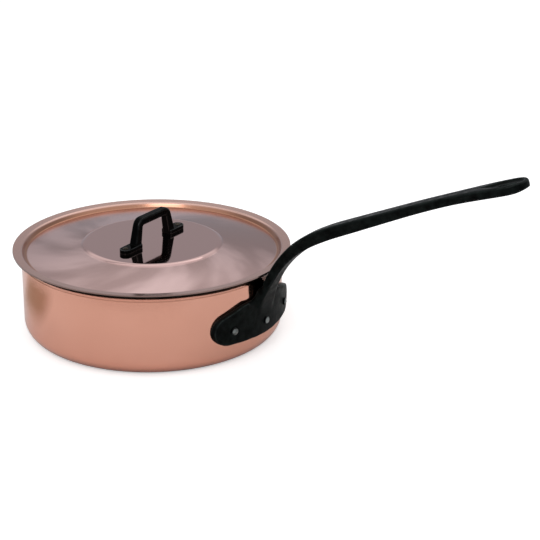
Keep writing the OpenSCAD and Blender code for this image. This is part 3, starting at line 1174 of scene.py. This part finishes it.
@dataclass
class Rivet:
    """One rivet: a domed head outside, a shank, and a broad low head inside."""

    head: float
    head_height: float
    head_side: float
    shank: float
    length: float
    inner_head: float
    inner_height: float
    sink: float = 0.3
    edge: float = 0.25
    steps: int = 48

    @staticmethod
    def dome_corner(radius: float, height: float) -> tuple[float, float]:
        """Returns where a dome's tangents cross, and the radius of its ball."""
        ball = (radius * radius + height * height) / (2 * height)
        return ball * math.tan(math.asin(radius / ball) / 2), ball

    def shape(self) -> BMesh:
        """Returns the rivet on the Z axis, with the seat of its outer head at z = 0."""
        outer_at, outer_ball = self.dome_corner(self.head, self.head_height - self.head_side)
        inner_at, inner_ball = self.dome_corner(self.inner_head, self.inner_height)
        low = -self.length
        profile = [
            Corner(0, self.head_height),
            Corner(outer_at, self.head_height, outer_ball),
            Corner(self.head, self.head_side, self.edge),
            Corner(self.head, -self.sink),
            Corner(self.shank, -self.sink),
            Corner(self.shank, low),
            Corner(self.inner_head, low, self.edge),
            Corner(inner_at, low - self.inner_height, inner_ball),
            Corner(0, low - self.inner_height),
        ]
        return spun(profile, steps=self.steps)


def gathered(shapes: Sequence[tuple[BMesh, Matrix]]) -> BMesh:
    """Puts several shapes into one mesh.

    Args:
        shapes: Each shape, which is used up, and its place.

    Returns:
        One mesh that holds them all.
    """
    whole = bmesh.new()
    for shape, place in shapes:
        bmesh.ops.transform(shape, matrix=place, verts=shape.verts[:])
        part = bpy.data.meshes.new("part")
        shape.to_mesh(part)
        shape.free()
        whole.from_mesh(part)
        bpy.data.meshes.remove(part)
    return whole


@dataclass
class PanRivets:
    """The three rivets that hold the handle's plate to the wall."""

    seat: float = 127.55
    angles: tuple[float, ...] = (-19.0, 0.0, 19.0)
    heights: tuple[float, ...] = (35.46, 33.3, 35.46)
    rivet: Rivet = field(default_factory=lambda: Rivet(3.5, 2.6, 1.1, 2.6, 7.6, 6.0, 1.6))

    def build(self, finishes: Finishes) -> None:
        """Builds the rivets as one piece and fits it out."""
        lying = Matrix.Rotation(math.radians(90), 4, "Y")
        shapes = []
        for angle, height in zip(self.angles, self.heights):
            place = Matrix.Rotation(math.radians(angle), 4, "Z")
            place = place @ Matrix.Translation((self.seat, 0, height)) @ lying
            shapes.append((self.rivet.shape(), place))
        piece = finished("pan_rivets", gathered(shapes), turned=False)
        fit_out(piece, "handle_rivets", Body.PAN, finishes.rivet_steel)


@dataclass
class LongHandle:
    """The long cast-iron handle, one casting with the curved plate riveted to the wall."""

    plate_inside: float = 122.55
    plate_outside: float = 127.55
    plate_foot: float = 20.85
    foot_rise: float = 2.0
    foot_bend: float = 250.0
    edge_legs: tuple[Leg, ...] = (Leg(46.517, 14, 161), Leg(18.62, 30, 177), Leg(7, 7, 98))
    relief_height: float = 54.0
    ring_bottom: float = 10.0
    ring_top: float = 76.0
    past: float = 5.0
    relief_thickness: float = 0.6
    neck_end: tuple[float, float] = (10.63, 67.8)
    bar: tuple[float, float, float] = (19.5, 8.0, 1.7)
    length: float = 312.476
    end_width: float = 32.0
    hole_inset: float = 17.0
    hole: tuple[float, float] = (18.0, 8.0)
    cut: float = 30.0
    hollow_length: float = 48.0
    hollow_rim: float = 2.8
    hollow_depth: float = 1.8
    voxel: float = 0.65
    steps: int = 70
    end_steps: int = 14
    end_least: float = 0.004
    end_thinning: tuple[float, float] = (0.58, 0.5)
    root_half: float = 24.0
    root_heights: tuple[float, float] = (30.0, 70.0)
    root_depth: float = 3.2
    root_passes: int = 40
    hollow_slope: float = 2.2
    hollow_fade: float = 1.5
    hollow_tip: float = 0.5
    voxel: float = 0.65
    passes: int = 6

    stem_line: BentLine = BentLine(
        (126.55, 37.0),
        90.0,
        (
            Leg(0, 94, 59.6),
            Leg(0, 109, 30.7),
            Leg(0, 275, 24.9),
            Leg(64, 1120, 20),
            Leg(20, 0, 20),
        ),
    )
    half_widths: tuple[tuple[float, float], ...] = (
        (0, 9.36),
        (17.5, 13.0),
        (45.9, 8.0),
        (132.7, 9.75),
        (241.5, 9.75),
        (296.5, 16.0),
    )
    half_thicknesses: tuple[tuple[float, float], ...] = (
        (0, 0.6),
        (45.9, 4.3),
        (104.9, 5.6),
        (241.5, 4.0),
        (312.5, 4.0),
    )

    def plate_outline(self) -> list[Corner]:
        """Returns the plate's outline on the wall, round from the middle of its foot."""
        plate = BentLine((0, self.plate_foot), self.foot_rise, self.edge_legs)
        half = plate.corners()[1:-1]
        right = half + [Corner(*self.neck_end)]
        left = [Corner(-c.across, c.up, c.bend) for c in reversed(right)]
        return [Corner(0, self.plate_foot, self.foot_bend)] + right + left

    def plate(self) -> BMesh:
        """Returns the plate: its outline pushed through a ring that fits the wall."""
        bm, face = filled(self.plate_outline())
        push(bm, face, (0, -self.plate_outside - self.past, 0))
        turn(bm, 90, "Z")
        profile = [
            Corner(self.plate_inside, self.ring_bottom),
            Corner(self.plate_outside, self.ring_bottom),
            Corner(self.plate_outside, self.ring_top),
            Corner(self.plate_outside - self.relief_thickness, self.ring_top),
            Corner(self.plate_inside, self.relief_height),
        ]
        return combined("INTERSECT", bm, spun(profile, closed=True))

    def stem(self) -> BMesh:
        """Returns the stem, swept along its line and closed with a rounded end."""
        width, thickness, edge = self.bar
        round_end = self.end_width / 2
        end_centre = self.length - round_end
        lengths = [i * end_centre / self.steps for i in range(self.steps + 1)]
        lengths += [
            end_centre + round_end * math.sin(math.radians(90 * i / self.end_steps))
            for i in range(1, self.end_steps + 1)
        ]
        least, gain = self.end_thinning
        places = []
        for length in lengths:
            past = max(0.0, length - end_centre) / round_end
            share = math.sqrt(max(self.end_least, 1 - past * past))
            wide = between(self.half_widths, length) * share / (width / 2)
            full = between(self.half_thicknesses, length) / (thickness / 2)
            thick = full * min(1.0, least + gain * share)
            places.append(section_place(*self.stem_line.at(length), wide, thick))
        return swept(oblong(width, thickness, edge), places)

    def hanging_hole(self) -> BMesh:
        """Returns the solid that cuts the oval hole, square to the handle's end."""
        long, wide = self.hole
        bm, face = filled(oblong(wide, long, wide / 2 * NEARLY_ROUND))
        push(bm, face, (0, self.cut, 0))
        bmesh.ops.translate(bm, vec=(0, -self.cut / 2, 0), verts=bm.verts[:])
        point, heading = self.stem_line.at(self.length - self.hole_inset)
        run, up = ahead(heading), leftward(heading)
        columns = (
            (0, 1, 0, 0),
            (up.x, 0, up.y, 0),
            (run.x, 0, run.y, 0),
            (point.x, 0, point.y, 1),
        )
        bmesh.ops.transform(bm, matrix=Matrix(columns).transposed(), verts=bm.verts[:])
        return bm

    def build(self, finishes: Finishes) -> None:
        """Builds the casting and fits it out."""
        whole = combined("UNION", self.plate(), self.stem())
        whole = combined("DIFFERENCE", whole, self.hanging_hole())
        cast = recast(whole, self.voxel, self.passes)
        self.flow_root(cast)
        self.hollow_end(cast)
        piece = finished("long_handle", cast, turned=False)
        fit_out(piece, "handle", Body.PAN, finishes.cast_iron)

    def flow_root(self, cast: BMesh) -> None:
        """Smooths the hollow where the stem leaves the plate, so that one flows into the other."""
        low, high = self.root_heights
        start = self.plate_outside - self.root_depth
        near = [
            v
            for v in cast.verts
            if abs(v.co.y) < self.root_half and low < v.co.z < high and v.co.x > start
        ]
        soften(cast, near, self.root_passes)

    def hollow_end(self, cast: BMesh) -> None:
        """Sinks a drop-shaped hollow into the upper face of the rounded end."""
        tip, heading = self.stem_line.at(self.length)
        run, up = ahead(heading), leftward(heading)
        round_end = self.end_width / 2
        inner = round_end - self.hollow_rim
        widths = ((round_end, inner), (self.hollow_length, self.hollow_tip))
        for vert in cast.verts:
            away = Vector((vert.co.x, vert.co.z)) - tip
            back, high = -away.dot(run), away.dot(up)
            if not (0 < back < self.hollow_length and high > 0):
                continue
            if back < round_end:
                room = inner - math.hypot(round_end - back, vert.co.y)
            else:
                room = between(widths, back) - abs(vert.co.y)
            sunk_in = eased(room / self.hollow_slope) * eased(high / self.hollow_fade)
            vert.co -= self.hollow_depth * sunk_in * Vector((up.x, 0, up.y))


@dataclass
class Lid:
    """The lid: a copper sheet over a thin steel one, spun to one shape."""

    top: float = 84.2028
    copper: float = 1.1
    whole: float = 1.5
    legs: tuple[Leg, ...] = (
        Leg(61.4757, 8.37771, -36),
        Leg(0, 1.2, -5.5),
        Leg(0, 841.901, -9),
        Leg(0, 1.6, 60),
        Leg(3.03951, 2.6, 5),
        Leg(6.854, 0, 5),
    )

    def line(self, depth: float) -> list[Corner]:
        """Returns the lid's upper line, moved down into its thickness."""
        return sunk(BentLine((0, self.top), 0.0, self.legs).corners(), depth)

    def build(self, finishes: Finishes) -> None:
        """Builds both sheets and fits them out."""
        layers = (
            ("lid_copper", "lid_shell", 0.0, self.copper, Slot.SATIN_COPPER),
            ("lid_underside", "lid_lining", self.copper, self.whole, Slot.LINING_STEEL),
        )
        for name, node, upper, lower, slot in layers:
            shape = spun(self.line(upper) + self.line(lower)[::-1])
            piece = finished(name, shape, turned=True)
            fit_out(piece, node, Body.LID, getattr(finishes, slot.value))


@dataclass
class LidHandle:
    """The cast-iron arch on the lid, with a flat foot at each end."""

    seat: float = 84.2528
    start: tuple[float, float] = (-26.2026, 1.0)
    bar: tuple[float, float, float] = (7.8, 7.4, 1.6)
    flare: float = 1.2
    bend: float = 5.5
    lean: float = 77.0
    leg_length: float = 19.538
    top_length: float = 32.897
    foot_width: float = 11.2
    foot_thickness: float = 4.2
    foot_inner: float = 22.0
    rivet_out: float = 40.5
    bend_steps: int = 8
    voxel: float = 0.36
    passes: int = 4

    def bar_shape(self) -> BMesh:
        """Returns the bent bar, swept along its line across the lid."""
        arch = BentLine(
            self.start,
            self.lean,
            (
                Leg(self.leg_length, self.bend, 0),
                Leg(self.top_length, self.bend, -self.lean),
                Leg(self.leg_length, 0, -self.lean),
            ),
        )
        run = math.radians(self.lean) * self.bend
        whole = 2 * self.leg_length + 2 * run + self.top_length
        lengths = [0.0]
        for start in (self.leg_length, self.leg_length + run + self.top_length):
            lengths += [start + run * i / self.bend_steps for i in range(self.bend_steps + 1)]
        places = []
        for length in lengths + [whole]:
            wide = self.flare if length in (0.0, whole) else 1.0
            places.append(section_place(*arch.at(length), wide, wide))
        bm = swept(oblong(*self.bar), places)
        turn(bm, 90, "Z")
        return bm

    def foot(self, side: int) -> BMesh:
        """Returns a foot, round at its outer end, on one side of the lid."""
        half = self.foot_width / 2
        outline = [
            Corner(-half, self.foot_inner),
            Corner(half, self.foot_inner),
            Corner(half, self.rivet_out + half, half * NEARLY_ROUND),
            Corner(-half, self.rivet_out + half, half * NEARLY_ROUND),
        ]
        bm, face = filled(outline)
        turn(bm, -90, "X")
        push(bm, face, (0, 0, self.foot_thickness))
        if side < 0:
            turn(bm, 180, "Z")
        return bm

    def build(self, finishes: Finishes) -> None:
        """Builds the casting and fits it out."""
        whole = self.bar_shape()
        for side in (-1, 1):
            whole = combined("UNION", whole, self.foot(side))
        cast = recast(whole, self.voxel, self.passes)
        bmesh.ops.translate(cast, vec=(0, 0, self.seat), verts=cast.verts[:])
        piece = finished("lid_arch", cast, turned=False)
        fit_out(piece, "lid_handle", Body.LID, finishes.fine_iron)


@dataclass
class LidRivets:
    """The two rivets that hold the arch to the lid."""

    seat: float = 88.5
    out: float = 40.5
    rivet: Rivet = field(default_factory=lambda: Rivet(2.9, 1.3, 0.0, 2.0, 5.85, 4.2, 1.1))

    def build(self, finishes: Finishes) -> None:
        """Builds the rivets as one piece and fits it out."""
        shapes = [
            (self.rivet.shape(), Matrix.Translation((0, side * self.out, self.seat)))
            for side in (-1, 1)
        ]
        piece = finished("lid_rivets_pair", gathered(shapes), turned=False)
        fit_out(piece, "lid_rivets", Body.LID, finishes.browned_steel)


# Studio


@dataclass(frozen=True)
class SoftLamp:
    """A square softbox: where it hangs, what it faces, its size and its power."""

    name: str
    place: tuple[float, float, float]
    aim: tuple[float, float, float]
    size: float
    power: float

    def hang(self) -> None:
        """Puts the lamp in the scene."""
        light = bpy.data.lights.new(self.name, "AREA")
        light.shape, light.size, light.energy = "SQUARE", self.size, self.power
        lamp = bpy.data.objects.new(self.name, light)
        bpy.context.scene.collection.objects.link(lamp)
        lamp.location = self.place
        facing = Vector(self.aim) - Vector(self.place)
        lamp.rotation_euler = facing.to_track_quat("-Z", "Y").to_euler()


@dataclass(frozen=True)
class SoftCard:
    """A soft-edged card on the floor that only reflections see: part of a ring round the pan."""

    name: str
    inner: float
    outer: float
    facing: float
    half_sweep: float
    tone: Colour
    fade: float
    side_fade: float
    height: float

    def lay(self, effects: Effects) -> None:
        """Puts the card in the scene, drawn with the shared effects."""
        bm = bmesh.new()
        far = self.outer + self.fade
        bmesh.ops.create_grid(bm, x_segments=1, y_segments=1, size=far * MM)
        bmesh.ops.translate(bm, vec=(0, 0, self.height * MM), verts=bm.verts[:])
        card = as_object(self.name, bm)
        card.data.materials.append(self.material(effects))
        for sight in ("camera", "diffuse", "shadow", "transmission"):
            setattr(card, f"visible_{sight}", False)

    def material(self, effects: Effects) -> bpy.types.Material:
        """Returns the card's material, clear outside its part of the ring."""
        g = Paint(self.name, effects)
        ring = g.band(self.inner * MM, self.outer * MM, self.fade * MM)
        away = g.vector("NORMALIZE", g.flat(g.at)).outputs[0]
        near = g.vector("DOT_PRODUCT", away, (*ahead(self.facing), 0)).outputs["Value"]
        edge = math.cos(math.radians(self.half_sweep + self.side_fade))
        full = math.cos(math.radians(self.half_sweep - self.side_fade))
        share = g.calc("MULTIPLY", ring, g.spread(near, edge, full, 0.0, 1.0))
        clear = g.add("ShaderNodeBsdfTransparent").outputs[0]
        glow = g.add("ShaderNodeEmission", {"Color": self.tone, "Strength": 1.0}).outputs[0]
        mixed = g.add("ShaderNodeMixShader", {0: share, 1: clear, 2: glow})
        g.tree.nodes.remove(g.shader)
        g.feed(g.tree.nodes["Material Output"], "Surface", mixed.outputs[0])
        return g.material


@dataclass
class Studio:
    """A pale floor, soft light and the camera at the photograph's angle."""

    floor_size: float = 12.0
    floor_colour: Colour = (0.86, 0.86, 0.86, 1)
    floor_lift: float = 0.5
    room_strength: float = 0.85
    room_low: Colour = (0.46, 0.5, 0.56, 1)
    room_bands: tuple[tuple[float, float, Colour], ...] = (
        (0.0, 0.3, (0.46, 0.46, 0.48, 1)),
        (0.42, 0.56, WHITE),
        (0.68, 0.86, (0.42, 0.42, 0.42, 1)),
    )
    camera_place: tuple[float, float, float] = (0.7524, -0.9877, 0.5407)
    camera_facing: tuple[float, float, float] = (-0.4956, 0.7879, -0.3654)
    camera_roll: float = 0.0103
    lens: float = 93.33
    sensor: float = 36.0
    lamps: tuple[SoftLamp, ...] = (
        SoftLamp("top_softbox", (0.1, 0.1, 1.7), (0.05, 0, 0), 2.3, 11.0),
        SoftLamp("front_softbox", (0.55, -1.35, 1.25), (0, 0, 0.05), 0.9, 7.0),
    )
    cards: tuple[SoftCard, ...] = (
        SoftCard("front_card", 300, 480, -68, 30, (0.6, 0.56, 0.53, 1), 60, 16, 1),
        SoftCard("left_card", 168, 250, -147, 13, (0.42, 0.37, 0.3, 1), 30, 9, 2),
    )

    def lay_floor(self, effects: Effects) -> None:
        """Lays the floor, which the camera sees white and which keeps the soft shadow."""
        bm = bmesh.new()
        bmesh.ops.create_grid(bm, x_segments=1, y_segments=1, size=self.floor_size / 2)
        floor = as_object("floor", bm)
        g = Paint("pale_floor", effects)
        seen = g.add("ShaderNodeLightPath").outputs["Is Camera Ray"]
        g.feed(g.shader, "Specular IOR Level", 0.0)
        g.feed(g.shader, "Emission Color", WHITE)
        g.feed(g.shader, "Emission Strength", g.calc("MULTIPLY", seen, self.floor_lift))
        floor.data.materials.append(g.dressed(self.floor_colour, 1.0, metal=False))

    def light(self) -> None:
        """Hangs the lamps and fills the room with soft light, white to the camera."""
        for lamp in self.lamps:
            lamp.hang()
        world = bpy.data.worlds.new("room")
        bpy.context.scene.world = world
        world.use_nodes = True
        g = Graph(world.node_tree)
        high = g.split(g.add("ShaderNodeTexCoord").outputs["Generated"])[2]
        room: object = self.room_low
        for start, full, tone in self.room_bands:
            room = g.blend(g.spread(high, start, full, 0.0, 1.0), room, tone)
        background = g.tree.nodes["Background"]
        g.feed(background, "Color", room)
        g.feed(background, "Strength", self.room_strength)
        white = g.add("ShaderNodeBackground", {"Color": WHITE, "Strength": 1.0})
        seen = g.add("ShaderNodeLightPath").outputs["Is Camera Ray"]
        mixed = g.add(
            "ShaderNodeMixShader", {0: seen, 1: background.outputs[0], 2: white.outputs[0]}
        )
        g.feed(g.tree.nodes["World Output"], "Surface", mixed.outputs[0])

    def set_camera(self) -> None:
        """Puts the camera where the photograph was taken from."""
        facing = Vector(self.camera_facing).normalized()
        right = facing.cross(Vector((0, 0, 1))).normalized()
        up = right.cross(facing)
        turn = Matrix.Rotation(-self.camera_roll, 3, facing)
        right, up = turn @ right, turn @ up
        axes = Matrix((right, up, -facing)).transposed()
        camera = bpy.data.objects.new("camera", bpy.data.cameras.new("camera"))
        camera.data.lens, camera.data.sensor_width = self.lens, self.sensor
        camera.matrix_world = Matrix.Translation(self.camera_place) @ axes.to_4x4()
        bpy.context.scene.collection.objects.link(camera)
        bpy.context.scene.camera = camera

    def build(self, effects: Effects) -> None:
        """Sets the whole studio."""
        bpy.context.scene.view_settings.view_transform = "Standard"
        self.set_camera()
        self.lay_floor(effects)
        for card in self.cards:
            card.lay(effects)
        self.light()


def main() -> None:
    """Builds every piece in order, from the base up, and then the studio."""
    logging.basicConfig(level=logging.INFO, format="%(name)s %(message)s")
    effects = Effects()
    finishes = Finishes.built(effects)
    for assembly in (PanBody(), PanRivets(), LongHandle(), Lid(), LidHandle(), LidRivets()):
        assembly.build(finishes)
    Studio().build(effects)


if __name__ == "__main__":
    main()
